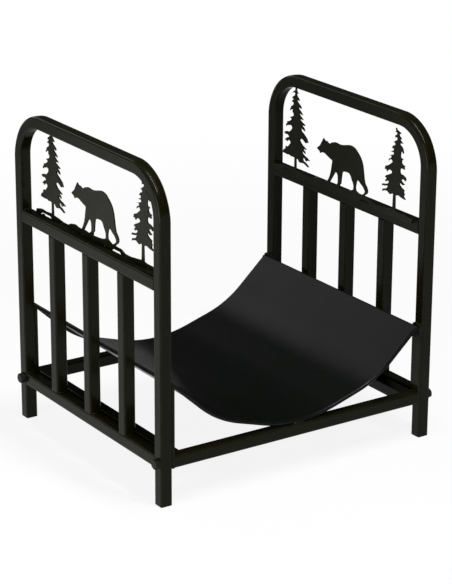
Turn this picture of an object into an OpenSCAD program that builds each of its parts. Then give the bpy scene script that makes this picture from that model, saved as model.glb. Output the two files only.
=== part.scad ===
// Firewood rack: two bent tube side frames with cut-out panels, a bolted base frame and a steel log cradle.
// X runs across the width, Y from front to rear and Z up. The origin is on the floor, under the middle.

/* [Side frames] */
// Width over the outer faces of the side frames
frame_w = 464; // [380:1:600]
// Depth over the front and rear faces of the legs
frame_d = 396; // [330:1:520]
// Height of the hoops
frame_h = 477; // [430:1:600]
// Side of the square tube
tube = 18; // [15:0.5:20]
// Wall of the square tube
tube_wall = 1.2; // [0.9:0.1:1.8]
// Outer corner radius of the square tube
tube_corner = 2.4; // [1.3:0.1:2.5]
// Radius of the hoop bends at the tube centre line
bend_r = 61; // [40:1:90]
// Top of the upper rails above the floor
upper_rail_top = 327; // [290:1:350]
// Top of the lower rails and the base rails above the floor
lower_rail_top = 72; // [60:1:100]
// Number of upright slats in each side frame
slat_count = 3; // [3:1:3]
// Clearance at each welded butt joint
weld_gap = 0; // [0:0.01:0.05]

/* [Base and straps] */
// Thickness of the straps
strap_t = 4; // [3:0.5:6]
// Width of the straps
strap_w = 18; // [16:0.5:22]
// Top of the straps above the floor
strap_top = 178; // [160:1:200]
// Radius of the two upper corners of a strap
strap_round = 5; // [2:0.5:7]

/* [Cradle] */
// Thickness of the cradle sheet
sheet_t = 1.5; // [1:0.1:2.5]
// Diameter of the round bar along the cradle edges
bar_d = 6; // [5:0.5:8]
// Gap from the front and rear faces of the legs to the edge bars
bar_inset = 3; // [2:0.5:8]
// Depth of the top of the cradle sheet below the top of the bars
sheet_sink = 0.3; // [0.3:0.1:1]
// Radius of the shallow middle of the cradle
mid_r = 210; // [150:1:260]
// Slope where the shallow middle ends, in degrees
mid_slope = 17; // [12:0.5:22]
// Length of the flat beside the shallow middle
flat_len = 42; // [20:1:60]
// Radius of the side bend of the cradle
side_r = 160; // [110:1:190]
// Slope of the cradle sides, in degrees
side_slope = 42.5; // [36:0.5:46]

/* [Cut-out panels] */
// Thickness of the panels
panel_t = 2; // [1.5:0.1:3]
// Gap between a leg and the end of the strip of ground
panel_gap = 10; // [6:1:24]
// Height of the highest bump of the strip of ground above the upper rail
ground_h = 12; // [8:0.5:16]
// Depth by which the strip of ground laps over the upper rail
panel_lap = 7; // [4:0.5:11]
// Depth by which the rear pine laps over the top of the hoop, and the gap from it to the front pine
tip_lap = 4; // [2:0.5:8]
// Height of the bear
bear_h = 71; // [55:1:80]
// Reach of the widest pine branches from the trunk
pine_reach = 37; // [28:1:40]
// Height of the lowest branches of the rear pine above the upper rail
branch_low = 23; // [14:0.5:26]

/* [Fasteners] */
// Thread diameter of the bolts
bolt_d = 8; // [6:1:8]
// Length of a bolt under its head
bolt_len = 32; // [28:1:40]
// Width of a bolt head across its flats
head_af = 13; // [11:0.5:14]
// Height of a bolt head
head_h = 5.3; // [4:0.1:6]
// Diameter of the washers
washer_d = 16; // [14:0.5:18]
// Thickness of the washers
washer_t = 1.6; // [1:0.1:2]
// Clearance of the washer holes on the diameter
washer_clear = 0.4; // [0.2:0.1:0.8]
// Clearance of a square nut to each wall of its tube
nut_clear = 0.4; // [0.3:0.1:0.7]
// Height of a nut
nut_h = 6.5; // [5:0.1:7]
// Clearance of the bolt holes on the diameter
hole_clear = 0.6; // [0.3:0.1:1]

/* [Hidden] */
$fn = 64;
steel = [0.10, 0.10, 0.095];
gloss = [0.15, 0.155, 0.15];
zinc = [0.22, 0.22, 0.21];
outer_x = frame_w / 2;
inner_x = outer_x - tube;
leg_y = frame_d / 2 - tube / 2;
rail_len = frame_d - 2 * tube - 2 * weld_gap;
lower_mid = lower_rail_top - tube / 2;
upper_mid = upper_rail_top - tube / 2;
hoop_mid = frame_h - tube / 2;
slat_len = upper_rail_top - lower_rail_top - tube - 2 * weld_gap;
slat_pitch = (frame_d - tube) / (slat_count + 1);
base_x = inner_x - strap_t;
base_len = 2 * base_x;
hole_d = bolt_d + hole_clear;
nut_side = tube - 2 * tube_wall - 2 * nut_clear;
strap_y = frame_d / 2 - strap_w / 2;
bar_y = frame_d / 2 - bar_inset - bar_d / 2;
bar_x = base_x - bar_d / 2;
sheet_mid = lower_rail_top + bar_d / 2;
sheet_top = bar_d / 2 - sheet_sink;
sheet_low = sheet_top - sheet_t;
sheet_d = 2 * bar_y - 2 * sqrt(bar_d * bar_d / 4 - sheet_low * sheet_low);
x1 = mid_r * sin(mid_slope);
z1 = mid_r * (1 - cos(mid_slope));
x2 = x1 + flat_len * cos(mid_slope);
z2 = z1 + flat_len * sin(mid_slope);
x3 = x2 + side_r * (sin(side_slope) - sin(mid_slope));
z3 = z2 + side_r * (cos(mid_slope) - cos(side_slope));
side_len = (bar_x - x3) / cos(side_slope);
bar_z = sheet_mid + z3 + side_len * sin(side_slope);
panel_w = frame_d - 2 * tube - 2 * panel_gap;
panel_clear = frame_h - tube - upper_rail_top;
pine_tilt = 0.07;
arc_steps = 12;
knot_rise = 0.08;

// Square with round corners
module soft_square(side, corner) {
    flat = side - 2 * corner;
    square([side, flat], center = true);
    square([flat, side], center = true);
    for (x = [-1, 1], y = [-1, 1])
        translate([x * flat / 2, y * flat / 2])
            circle(r = corner);
}

// Section of the square tube
module tube_section() {
    difference() {
        soft_square(tube, tube_corner);
        soft_square(tube - 2 * tube_wall, max(tube_corner - tube_wall, 0.3));
    }
}

// Length of square tube along Z, from the origin up
module tube_run(len) {
    linear_extrude(height = len)
        tube_section();
}

// Length of square tube along Y, centred
module tube_y(len) {
    rotate([90, 0, 0])
        translate([0, 0, -len / 2])
            tube_run(len);
}

// Length of square tube along X, centred
module tube_x(len) {
    rotate([0, 90, 0])
        translate([0, 0, -len / 2])
            tube_run(len);
}

// Quarter bend between the front leg and the top of a hoop
module quarter_bend() {
    rotate([0, 90, 0])
        rotate([0, 0, 180])
            rotate_extrude(angle = 90, $fn = 96)
                translate([bend_r, 0])
                    tube_section();
}

// Bolt hole through the leg
module leg_hole() {
    rotate([0, 90, 0])
        cylinder(d = hole_d, h = 2 * tube, center = true);
}

// Bent hoop in the YZ plane, centred on X = 0
module hoop() {
    leg_len = hoop_mid - bend_r;
    top_len = 2 * (leg_y - bend_r);
    difference() {
        union() {
            for (s = [-1, 1])
                translate([0, s * leg_y, 0])
                    tube_run(leg_len);
            translate([0, 0, hoop_mid])
                tube_y(top_len);
            for (s = [0, 1])
                mirror([0, s, 0])
                    translate([0, -leg_y + bend_r, leg_len])
                        quarter_bend();
        }
        for (s = [-1, 1])
            translate([0, s * leg_y, lower_mid])
                leg_hole();
    }
}

module side_hoop(side) {
    color(steel)
        translate([side * (outer_x - tube / 2), 0, 0])
            hoop();
}

module side_rail(side, mid) {
    color(steel)
        translate([side * (outer_x - tube / 2), 0, mid])
            tube_y(rail_len);
}

module slat(side, index) {
    color(steel)
        translate([side * (outer_x - tube / 2), index * slat_pitch, lower_rail_top + weld_gap])
            tube_run(slat_len);
}

// Walking bear as points [distance towards the rear, height], 70 high, with its feet just above height 0
bear_points = [
    // nose, brow and ear
    [62, 47], [59, 49.5], [54, 53], [52, 56.5], [49.5, 60], [46, 65.5], [44, 63.5], [42, 62.5], [37, 62.5],
    // neck, shoulder and back
    [35, 61], [32, 60.5], [29, 61.5], [25, 64], [20, 65.5], [15, 66], [11, 65.5], [6, 65], [-1, 66], [-9, 68],
    [-16, 69.5], [-22, 70], [-28, 69], [-33, 67], [-37, 64], [-41, 61], [-45, 57], [-48, 53],
    // rump and last leg
    [-50.5, 47.5], [-52, 42], [-53.5, 34], [-55, 26.5], [-57, 21], [-61, 17], [-63.5, 13], [-63.5, 9], [-61, 6],
    [-58, 4.5], [-55, 2], [-55, -4], [-48, -4], [-49, 2], [-54, 5], [-57, 7.5], [-57.5, 10], [-55, 13],
    [-52, 16], [-48, 18], [-45, 20], [-42, 22], [-39, 21.5], [-37, 20],
    // third leg
    [-35.5, 15], [-34.5, 10.5], [-35.5, 6], [-35, -4], [-22, -4], [-22, 1], [-25, 2.5], [-29, 4.5], [-30, 8],
    [-30, 12], [-28, 16], [-25, 20], [-23, 24], [-20, 27],
    // belly and second leg
    [-16, 28], [-11, 27.5], [-7, 27.5], [-4, 26], [-1.5, 24], [-0.5, 19], [0.5, 12.5], [1, 7], [4, 4], [5, -4],
    [14, -4], [13, 2.5], [9.5, 4.5], [8.5, 7.5], [8.5, 12], [9, 17.5], [11, 20.5], [13.5, 21.5],
    // first leg
    [17, 19], [20.5, 14], [23.5, 10], [27, 5], [30, 1], [30, -4], [38, -4], [37, 0.5], [34.5, 2.5], [32, 6],
    [28.5, 12.5], [26, 20], [24.5, 28.5], [23, 34.5], [23.5, 37],
    // throat and muzzle
    [30, 39], [37, 41.5], [42, 43.5], [47.5, 43.5], [51, 42.5], [53, 41], [55.5, 44], [59, 45.5]];

// Rear pine as points [distance towards the front, height], 128 high with its lowest branches at 15
rear_pine = [
    // drooping branches towards the front, from the tip down
    [0, 128], [1, 122], [2, 120], [5, 118], [1, 118], [1, 115], [3, 113], [6, 111], [9, 108], [5, 108], [2, 106],
    [5, 104], [9, 102], [13, 100], [14, 97], [10, 98], [6, 96], [9, 94], [13, 92], [18, 88], [13, 89], [9, 87],
    [12, 85], [16, 83], [20, 81], [15, 81], [11, 79], [13, 78], [18, 76], [22, 75], [25, 73], [20, 73], [17, 71],
    [22, 69], [25, 65], [21, 66], [17, 67], [14, 65], [16, 62], [21, 60], [27, 57], [31, 54], [34, 49], [31, 50],
    [28, 47], [24, 49], [19, 51], [14, 50], [11, 47], [14, 44], [19, 41], [25, 39], [30, 37], [25, 37], [21, 35],
    [25, 33], [27, 30], [22, 32], [18, 31], [20, 28], [25, 26], [31, 25], [39, 22], [34, 22], [30, 19], [26, 22],
    [23, 23], [20, 20], [22, 17], [28, 16], [37, 12], [35, 11], [28, 13], [23, 14], [18, 13], [12, 12], [9, 14],
    [7, 16], [3, 15],
    // stubbier branches towards the rear, from the foot up
    [-2, 15], [-4, 16], [-11, 15], [-16, 16], [-22, 15], [-27, 15], [-35, 15], [-32, 21], [-28, 22], [-27, 27],
    [-24, 26], [-19, 30], [-14, 35], [-14, 38], [-17, 39], [-21, 38], [-24, 35], [-25, 37], [-30, 36], [-27, 39],
    [-23, 42], [-19, 42], [-18, 45], [-22, 47], [-27, 46], [-32, 48], [-26, 51], [-18, 52], [-14, 55], [-10, 59],
    [-10, 63], [-14, 64], [-19, 62], [-23, 62], [-26, 59], [-27, 62], [-23, 65], [-24, 67], [-18, 69], [-12, 73],
    [-12, 75], [-17, 76], [-11, 78], [-6, 81], [-6, 84], [-9, 86], [-9, 90], [-13, 89], [-17, 86], [-15, 90],
    [-13, 94], [-8, 97], [-6, 100], [-8, 102], [-12, 101], [-10, 104], [-6, 107], [-11, 107], [-9, 110],
    [-4, 113], [-2, 117], [-6, 118], [-11, 115], [-6, 120], [-3, 121], [-2, 125]];

// Front pine as points [distance towards the front, height], 128 high with its lowest branches at 21
front_pine = [
    // branches towards the front, from the tip down
    [0, 128], [3, 125], [8, 124], [13, 122], [8, 120], [9, 117], [12, 116], [14, 114], [11, 112], [12, 111],
    [18, 108], [11, 107], [11, 104], [16, 102], [19, 99], [21, 93], [17, 95], [14, 94], [13, 86], [15, 84],
    [20, 84], [17, 81], [16, 78], [19, 75], [25, 74], [23, 71], [25, 69], [19, 69], [14, 68], [13, 62], [15, 59],
    [21, 59], [27, 57], [29, 55], [27, 51], [25, 53], [18, 52], [17, 49], [20, 47], [26, 45], [21, 43], [16, 45],
    [13, 45], [13, 41], [18, 38], [25, 36], [24, 32], [26, 30], [24, 26], [29, 22], [23, 22], [16, 23], [11, 24],
    [3, 21],
    // branches towards the rear, from the foot up
    [-2, 22], [-5, 22], [-10, 19], [-14, 20], [-18, 22], [-24, 21], [-31, 18], [-30, 22], [-21, 25], [-18, 28],
    [-17, 31], [-22, 29], [-32, 27], [-31, 30], [-22, 32], [-16, 35], [-14, 38], [-17, 39], [-22, 36], [-24, 38],
    [-20, 42], [-25, 43], [-22, 46], [-14, 50], [-7, 54], [-7, 57], [-12, 58], [-17, 56], [-20, 53], [-22, 56],
    [-26, 55], [-24, 61], [-18, 63], [-12, 67], [-6, 72], [-8, 75], [-12, 75], [-17, 71], [-15, 75], [-11, 77],
    [-9, 79], [-10, 81], [-16, 80], [-8, 83], [-3, 85], [-4, 88], [-12, 87], [-4, 91], [-4, 94], [-9, 94],
    [-6, 98], [0, 101], [-1, 104], [-5, 104], [-1, 107], [4, 110], [5, 113], [1, 114], [-1, 112], [-1, 116],
    [3, 118], [4, 121], [-1, 122], [1, 124], [0, 126]];

// Pine from a list, stretched so that its lowest branches and its tip come to given heights
module pine(list, list_low, low, top, reach) {
    rise = (top - low) / (128 - list_low);
    side = reach / 39;
    polygon([for (p = list) [-p[0] * side, low + (p[1] - pine_tilt * p[0] - list_low) * rise]]);
}

// Trunk from a wide foot to the lowest branches
module trunk(foot_w, neck_w, foot, neck) {
    polygon([[-foot_w / 2, foot], [foot_w / 2, foot], [neck_w / 2, neck], [-neck_w / 2, neck]]);
}

// Upper edge of the strip of ground, as points [share of half its length, twelfths of its height]
ground_top = [[0.99, 3], [0.94, 5], [0.89, 6], [0.83, 5], [0.76, 6], [0.69, 5], [0.62, 4], [0.54, 2], [0.46, 2],
    [0.41, 6], [0.34, 8], [0.27, 6], [0.18, 7], [0.07, 5], [-0.04, 6], [-0.12, 8], [-0.18, 12], [-0.25, 7],
    [-0.33, 6], [-0.40, 6], [-0.46, 2], [-0.54, 2], [-0.64, 4], [-0.72, 6], [-0.79, 4], [-0.87, 4], [-0.93, 2],
    [-1, 3]];

// Lower edge of the strip from the other end, as points [share of half its length, share of the lap or rise]
ground_low = [[-0.98, -0.6], [-0.88, -1], [-0.75, -0.8], [-0.61, -1], [-0.47, -0.9], [-0.41, -0.3], [-0.385, 0.2],
    [-0.28, 0.2], [-0.25, -0.4], [-0.18, -0.9], [0, -1], [0.2, -0.85], [0.39, -1], [0.55, -0.85], [0.66, -1],
    [0.72, -0.4], [0.75, 0.2], [0.885, 0.2], [0.92, -0.3], [1, -0.6]];

// Uneven strip of ground that laps over the upper rail
module ground() {
    polygon(concat(
        [for (p = ground_top) [p[0] * panel_w / 2, p[1] * ground_h / 12]],
        [for (p = ground_low) [p[0] * panel_w / 2, p[1] * panel_lap]]
    ));
}

// Cut-out scene of one sheet thickness, with the rail top at height 0
module cut_scene() {
    foot = -0.4 * panel_lap;
    rear_low = branch_low;
    front_low = 1.2 * branch_low;
    linear_extrude(height = panel_t)
        translate([0.015 * panel_w / 2, 0.45 * ground_h])
            scale(bear_h / 70)
                polygon(bear_points);
    translate([0.712 * panel_w / 2, 0, 0]) {
        linear_extrude(height = panel_t)
            pine(rear_pine, 15, rear_low, panel_clear + tip_lap, pine_reach);
        linear_extrude(height = panel_t)
            trunk(0.14 * pine_reach, 0.1 * pine_reach, foot, 1.3 * rear_low);
    }
    translate([-0.735 * panel_w / 2, 0, 0]) {
        linear_extrude(height = panel_t)
            pine(front_pine, 21, front_low, panel_clear - tip_lap, 0.95 * pine_reach);
        linear_extrude(height = panel_t)
            trunk(0.18 * pine_reach, 0.11 * pine_reach, foot, 1.3 * front_low);
    }
    linear_extrude(height = panel_t)
        ground();
}

module panel(side) {
    face = side * inner_x;
    color(steel)
        translate([side > 0 ? face - panel_t : face, 0, upper_rail_top])
            rotate([90, 0, 90])
                cut_scene();
}

// Long base rail along X, open at its ends
module long_base_rail(end) {
    color(steel)
        translate([0, end * leg_y, lower_mid])
            tube_x(base_len);
}

// Short base rail along Y, between the long ones
module short_base_rail(side) {
    color(steel)
        translate([side * (base_x - tube / 2), 0, lower_mid])
            tube_y(rail_len);
}

// Flat bar with a hole for the bolt and two rounded upper corners
module strap(side, end) {
    low = lower_rail_top - tube;
    color(steel)
        translate([side * (base_x + strap_t / 2), end * strap_y, 0])
            rotate([90, 0, 90])
                translate([0, 0, -strap_t / 2])
                    difference() {
                        linear_extrude(height = strap_t) {
                            translate([-strap_w / 2, low])
                                square([strap_w, strap_top - strap_round - low]);
                            translate([-strap_w / 2 + strap_round, low])
                                square([strap_w - 2 * strap_round, strap_top - low]);
                            for (x = [-1, 1])
                                translate([x * (strap_w / 2 - strap_round), strap_top - strap_round])
                                    circle(r = strap_round);
                        }
                        translate([end * (leg_y - strap_y), lower_mid, -1])
                            cylinder(d = hole_d, h = strap_t + 2);
                    }
}

// Centre line of one half of an end bar, from the middle out, as points [x, height, slope]
function half_line() = concat(
    [for (i = [0:arc_steps]) let (a = mid_slope * i / arc_steps)
        [mid_r * sin(a), mid_r * (1 - cos(a)), a]],
    [for (i = [0:arc_steps]) let (a = mid_slope + (side_slope - mid_slope) * i / arc_steps)
        [x2 + side_r * (sin(a) - sin(mid_slope)), z2 + side_r * (cos(mid_slope) - cos(a)), a]],
    [[bar_x, bar_z - sheet_mid, side_slope]]
);

// Side of the sheet at a given distance above the bars' centre line, from the middle out
function half_skin(off) = [for (p = half_line()) [p[0] - off * sin(p[2]), sheet_mid + p[1] + off * cos(p[2])]];

// Points in the opposite order
function flipped(list) = [for (i = [len(list) - 1:-1:0]) list[i]];

// Points on the other side of the centre
function mirrored(list) = [for (p = list) [-p[0], p[1]]];

module cradle_sheet() {
    top = half_skin(sheet_top);
    low = half_skin(sheet_low);
    color(gloss)
        difference() {
            rotate([90, 0, 0])
                translate([0, 0, -sheet_d / 2])
                    linear_extrude(height = sheet_d)
                        polygon(concat(flipped(mirrored(top)), top, flipped(low), mirrored(low)));
            for (s = [-1, 1])
                translate([s * bar_x, 0, bar_z])
                    side_bar_solid(frame_d);
        }
}

// Straight length of round bar along Y, centred
module side_bar_solid(len) {
    rotate([90, 0, 0])
        cylinder(d = bar_d, h = len, center = true);
}

module side_bar(side) {
    color(gloss)
        translate([side * bar_x, 0, bar_z])
            side_bar_solid(2 * bar_y + bar_d);
}

// Bent part of an end bar about its own centre, from slope a to slope b
module arc_bar(r, a, b) {
    rotate([90, 0, 0])
        rotate([0, 0, -90 + a])
            rotate_extrude(angle = b - a, $fn = 180)
                translate([r, 0])
                    circle(d = bar_d, $fn = 48);
}

// Straight part of an end bar, along X
module straight_bar(len) {
    rotate([0, 90, 0])
        cylinder(d = bar_d, h = len, $fn = 48);
}

// Faint swelling where two lengths of an end bar run into each other
module bar_knot() {
    sphere(d = bar_d + 2 * knot_rise, $fn = 48);
}

module end_bar_side() {
    trim = 0.4;
    side_trim = trim / side_r * 180 / PI;
    translate([x1, 0, sheet_mid + z1])
        rotate([0, -mid_slope, 0])
            translate([trim, 0, 0])
                straight_bar(flat_len - 2 * trim);
    translate([x2 - side_r * sin(mid_slope), 0, sheet_mid + z2 + side_r * cos(mid_slope)])
        arc_bar(side_r, mid_slope + side_trim, side_slope - side_trim);
    translate([x3, 0, sheet_mid + z3])
        rotate([0, -side_slope, 0])
            translate([trim, 0, 0])
                straight_bar(side_len - trim);
    for (p = [[x1, z1], [x2, z2], [x3, z3]])
        translate([p[0], 0, sheet_mid + p[1]])
            bar_knot();
}

module end_bar(end) {
    mid_trim = 0.4 / mid_r * 180 / PI;
    color(gloss)
        translate([0, end * bar_y, 0])
            difference() {
                union() {
                    translate([0, 0, sheet_mid + mid_r])
                        arc_bar(mid_r, -mid_slope + mid_trim, mid_slope - mid_trim);
                    end_bar_side();
                    mirror([1, 0, 0])
                        end_bar_side();
                }
                for (s = [-1, 1])
                    translate([s * bar_x, 0, bar_z])
                        side_bar_solid(4 * bar_d);
            }
}

// Places its children at the four bolt lines, with +X pointing out of the rack
module at_bolts() {
    for (side = [0, 1], end = [-1, 1])
        mirror([side, 0, 0])
            translate([outer_x, end * leg_y, lower_mid])
                children();
}

module bolt() {
    rotate([0, 90, 0]) {
        translate([0, 0, washer_t])
            difference() {
                cylinder(d = head_af / cos(30), h = head_h, $fn = 6);
                translate([0, 0, head_h])
                    rotate_extrude()
                        polygon([[head_af * 0.46, 0.01], [head_af, 0.01], [head_af, -head_af * 0.24]]);
            }
        translate([0, 0, washer_t - bolt_len])
            cylinder(d = bolt_d, h = bolt_len + 0.5);
    }
}

module bolts() {
    color(zinc)
        at_bolts()
            bolt();
}

module washers() {
    color(zinc)
        at_bolts()
            rotate([0, 90, 0])
                difference() {
                    cylinder(d = washer_d, h = washer_t);
                    translate([0, 0, -1])
                        cylinder(d = bolt_d + washer_clear, h = washer_t + 2);
                }
}

// Square nuts held by the walls of the long base rails
module nuts() {
    color(zinc)
        at_bolts()
            translate([-tube - strap_t - nut_h, 0, 0])
                rotate([0, 90, 0])
                    difference() {
                        intersection() {
                            translate([-nut_side / 2, -nut_side / 2, 0])
                                cube([nut_side, nut_side, nut_h]);
                            translate([0, 0, -1])
                                cylinder(d = 1.32 * nut_side, h = nut_h + 2);
                        }
                        translate([0, 0, -1])
                            cylinder(d = bolt_d, h = nut_h + 2);
                    }
}

side_hoop(-1);  // left_hoop
side_rail(-1, upper_mid);  // left_upper_rail
side_rail(-1, lower_mid);  // left_lower_rail
slat(-1, -1);  // left_slat_front
slat(-1, 0);  // left_slat_middle
slat(-1, 1);  // left_slat_rear
panel(-1);  // left_panel
side_hoop(1);  // right_hoop
side_rail(1, upper_mid);  // right_upper_rail
side_rail(1, lower_mid);  // right_lower_rail
slat(1, -1);  // right_slat_front
slat(1, 0);  // right_slat_middle
slat(1, 1);  // right_slat_rear
panel(1);  // right_panel
long_base_rail(-1);  // front_base_rail
long_base_rail(1);  // rear_base_rail
short_base_rail(-1);  // left_base_rail
short_base_rail(1);  // right_base_rail
strap(-1, -1);  // front_left_strap
strap(1, -1);  // front_right_strap
strap(-1, 1);  // rear_left_strap
strap(1, 1);  // rear_right_strap
cradle_sheet();
end_bar(-1);  // cradle_front_bar
end_bar(1);  // cradle_rear_bar
side_bar(-1);  // cradle_left_bar
side_bar(1);  // cradle_right_bar
bolts();
washers();
nuts();
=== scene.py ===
import logging
import math
from dataclasses import dataclass
from enum import Enum

import bmesh
import bpy
from bmesh.types import BMEdge, BMFace, BMVert
from mathutils import Matrix, Vector


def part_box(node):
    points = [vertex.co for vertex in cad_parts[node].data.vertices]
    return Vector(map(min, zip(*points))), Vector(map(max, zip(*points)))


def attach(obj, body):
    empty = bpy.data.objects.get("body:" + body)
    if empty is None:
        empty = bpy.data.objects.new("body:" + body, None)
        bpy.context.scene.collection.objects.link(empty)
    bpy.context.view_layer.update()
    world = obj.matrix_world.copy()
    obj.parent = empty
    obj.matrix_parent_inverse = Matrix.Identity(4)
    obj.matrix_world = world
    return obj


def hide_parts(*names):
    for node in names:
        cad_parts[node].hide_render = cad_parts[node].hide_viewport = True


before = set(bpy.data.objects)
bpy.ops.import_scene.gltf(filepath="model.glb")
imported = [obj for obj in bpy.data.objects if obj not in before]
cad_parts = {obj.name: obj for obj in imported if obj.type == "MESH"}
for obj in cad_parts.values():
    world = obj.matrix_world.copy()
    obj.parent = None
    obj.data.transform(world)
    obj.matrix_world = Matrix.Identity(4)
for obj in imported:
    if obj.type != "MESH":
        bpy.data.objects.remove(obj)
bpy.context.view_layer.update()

MM = 0.001
WHITE = (1.0, 1.0, 1.0)
log = logging.getLogger("firewood_rack")

# Distance under which two points are one
MERGE = 0.002 * MM

# Angle over which an edge gets a bevel
SHARP = math.radians(60.0)

# Attribute that says how sharp a piece is at a point
CORNER = "edge"


class Sign(Enum):
    """A choice of two places, each with the sign of its coordinate."""

    @property
    def word(self) -> str:
        """Its name, as the CAD nodes spell it."""
        return self.name.lower()


class Side(Sign):
    """The two side frames, seen from the front, with the sign of their X."""

    LEFT = -1
    RIGHT = 1


class End(Sign):
    """The two ends of the rack along its depth, with the sign of their Y."""

    FRONT = -1
    REAR = 1


class Slot(Enum):
    """The record's material slots."""

    FRAME = "frame_coat"
    PANEL = "panel_coat"
    CRADLE = "cradle_coat"
    HARDWARE = "hardware"


# Shader sockets and node trees


class Signal:
    """A shader socket on which Python's operators add Math nodes."""

    def __init__(self, graph: "Graph", socket: bpy.types.NodeSocket) -> None:
        """Wraps a socket.

        Args:
            graph: The node tree's builder.
            socket: The output socket.
        """
        self.graph = graph
        self.socket = socket

    def _math(self, operation: str, first: object, second: object, clamp: bool = False) -> "Signal":
        """Adds one Math node.

        Args:
            operation: Name of the Math operation.
            first: Left value or signal.
            second: Right value or signal.
            clamp: Whether the result is held between 0 and 1.

        Returns:
            The node's output.
        """
        settings = {"operation": operation, "use_clamp": clamp}
        return self.graph.signal("ShaderNodeMath", settings, {0: first, 1: second})

    def __add__(self, other: object) -> "Signal":
        """Sum with a value or signal."""
        return self._math("ADD", self, other)

    def __radd__(self, other: object) -> "Signal":
        """Sum with a value on the left."""
        return self._math("ADD", other, self)

    def __sub__(self, other: object) -> "Signal":
        """Difference to a value or signal."""
        return self._math("SUBTRACT", self, other)

    def __rsub__(self, other: object) -> "Signal":
        """Difference from a value on the left."""
        return self._math("SUBTRACT", other, self)

    def __mul__(self, other: object) -> "Signal":
        """Product with a value or signal."""
        return self._math("MULTIPLY", self, other)

    def __rmul__(self, other: object) -> "Signal":
        """Product with a value on the left."""
        return self._math("MULTIPLY", other, self)

    def most(self, other: object) -> "Signal":
        """Larger of this and another value or signal."""
        return self._math("MAXIMUM", self, other)

    def held(self) -> "Signal":
        """This signal, held between 0 and 1."""
        return self._math("ADD", self, 0.0, clamp=True)

    def between(self, low: float, high: float) -> "Signal":
        """Share of the way from low to high, held between 0 and 1.

        Args:
            low: Value that gives 0.
            high: Value that gives 1.

        Returns:
            The share.
        """
        settings = {"interpolation_type": "SMOOTHSTEP", "clamp": True}
        inputs = {"Value": self, "From Min": low, "From Max": high, "To Min": 0.0, "To Max": 1.0}
        return self.graph.signal("ShaderNodeMapRange", settings, inputs)


class Graph:
    """Builder of one node tree."""

    def __init__(self, tree: bpy.types.NodeTree) -> None:
        """Empties a node tree and takes it over.

        Args:
            tree: Tree of a material or of the world.
        """
        self.tree = tree
        self.tree.nodes.clear()

    def node(self, kind: str, settings: dict | None = None, inputs: dict | None = None) -> bpy.types.Node:
        """Adds a node.

        Args:
            kind: Type of the node.
            settings: Its settings, set first.
            inputs: Values or signals by input name or number.

        Returns:
            The node.
        """
        made = self.tree.nodes.new(kind)
        for key, value in (settings or {}).items():
            setattr(made, key, value)
        for key, value in (inputs or {}).items():
            if isinstance(value, Signal):
                self.tree.links.new(value.socket, made.inputs[key])
            else:
                made.inputs[key].default_value = value
        return made

    def signal(
        self, kind: str, settings: dict | None = None, inputs: dict | None = None, output: int | str = 0
    ) -> Signal:
        """Adds a node and takes one of its outputs.

        Args:
            kind: Type of the node.
            settings: Its settings, set first.
            inputs: Values or signals by input name or number.
            output: Name or number of the output.

        Returns:
            The output.
        """
        return Signal(self, self.node(kind, settings, inputs).outputs[output])

    def place(self, scale: tuple = (1.0, 1.0, 1.0), turn: tuple = (0.0, 0.0, 0.0)) -> Signal:
        """Object coordinates in metres.

        Args:
            scale: Stretch along each axis.
            turn: Turn about each axis, in radians.

        Returns:
            The coordinates.
        """
        source = self.signal("ShaderNodeTexCoord", output="Object")
        inputs = {"Vector": source, "Scale": scale, "Rotation": turn}
        return self.signal("ShaderNodeMapping", inputs=inputs)

    def noise(self, where: Signal, scale: float, detail: float = 2.0, rough: float = 0.5) -> Signal:
        """Noise from 0 to 1.

        Args:
            where: Coordinates.
            scale: Cells per metre.
            detail: Number of finer layers.
            rough: Weight of the finer layers.

        Returns:
            The noise.
        """
        inputs = {"Vector": where, "Scale": scale, "Detail": detail, "Roughness": rough}
        return self.signal("ShaderNodeTexNoise", inputs=inputs)

    def blend(self, share: Signal, first: object, second: object) -> Signal:
        """Mix of two colours.

        Args:
            share: Weight of the second colour.
            first: First colour.
            second: Second colour.

        Returns:
            The mixed colour.
        """
        return self.signal("ShaderNodeMix", {"data_type": "RGBA"}, {0: share, 6: first, 7: second}, 2)

    def dot(self, first: Signal, second: object) -> Signal:
        """Dot product of two vectors."""
        inputs = {0: first, 1: second}
        return self.signal("ShaderNodeVectorMath", {"operation": "DOT_PRODUCT"}, inputs, "Value")

    def ray(self, kind: str) -> Signal:
        """1 for a ray of a kind, such as Camera, and 0 for others."""
        return self.signal("ShaderNodeLightPath", output=f"Is {kind} Ray")

    def corner(self) -> Signal:
        """Corner attribute of a piece, from 0 to 1."""
        return self.signal("ShaderNodeAttribute", {"attribute_name": CORNER}, output="Fac")

    def skin(self, tone: Signal, rough: Signal, relief: Signal, metallic: float, shine: float) -> None:
        """Ends a material's tree in its shader.

        Args:
            tone: Base colour.
            rough: Roughness.
            relief: Height of the surface in millimetres.
            metallic: Share of metal.
            shine: Specular level.
        """
        bump = self.signal("ShaderNodeBump", inputs={"Strength": 1.0, "Distance": MM, "Height": relief})
        inputs = {
            "Base Color": tone,
            "Metallic": metallic,
            "Roughness": rough.held(),
            "IOR": 1.5,
            "Specular IOR Level": shine,
            "Normal": bump,
        }
        shader = self.signal("ShaderNodeBsdfPrincipled", inputs=inputs)
        self.node("ShaderNodeOutputMaterial", inputs={"Surface": shader})


def new_material(name: str) -> tuple[bpy.types.Material, Graph]:
    """Starts a material.

    Args:
        name: Its name.

    Returns:
        The material and the builder of its tree.
    """
    material = bpy.data.materials.new(name)
    material.use_nodes = True
    return material, Graph(material.node_tree)


def rgba(colour: tuple, factor: float = 1.0) -> tuple:
    """Colour times a factor, with full opacity."""
    return (*(part * factor for part in colour), 1.0)


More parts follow.
